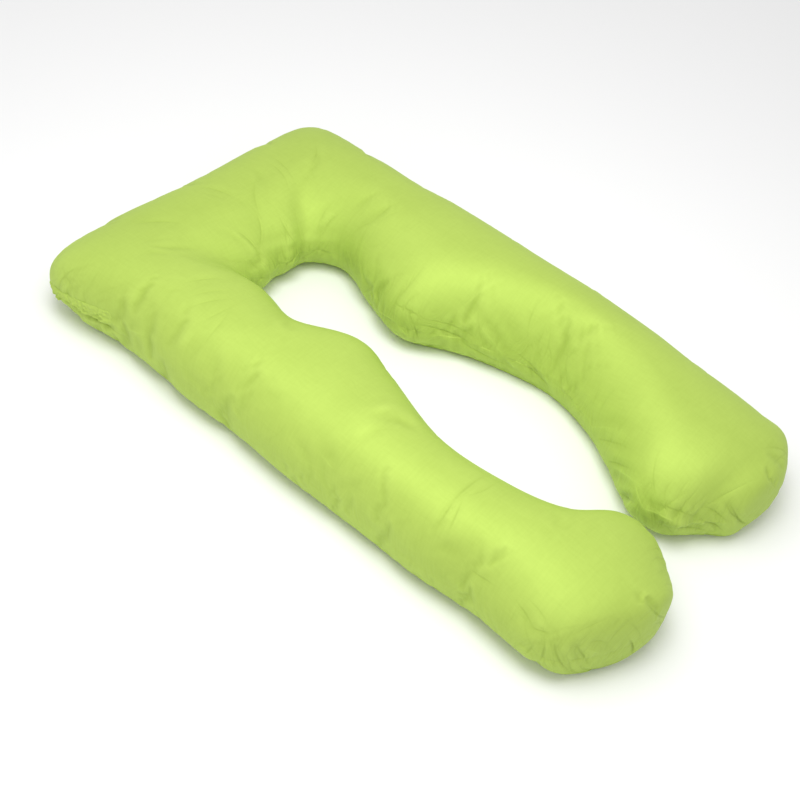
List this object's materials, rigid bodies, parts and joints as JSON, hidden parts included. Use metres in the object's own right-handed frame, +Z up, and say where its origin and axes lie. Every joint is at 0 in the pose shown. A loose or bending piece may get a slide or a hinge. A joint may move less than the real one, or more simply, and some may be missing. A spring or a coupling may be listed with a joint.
{
  "type": "pregnancy pillow",
  "caption": "U-shaped stuffed full-body pillow with a closed head end, a keyhole space for head and belly, and two long arms that nearly meet at the feet.",
  "frame": {"origin": "on the surface that the pillow lies on, under the middle of its box", "axes": "+Y to the closed head end, the open arms run to -Y, +X to the arm without the placket, +Z up"},
  "size_m": [0.7618, 1.35, 0.19],
  "materials": {
    "cover": "matt plain-woven cotton, lime green",
    "placket": "the same cotton, folded and crumpled"
  },
  "bodies": {
    "root": {"pillow": "cover", "closure_placket": "placket"}
  },
  "joints": []
}
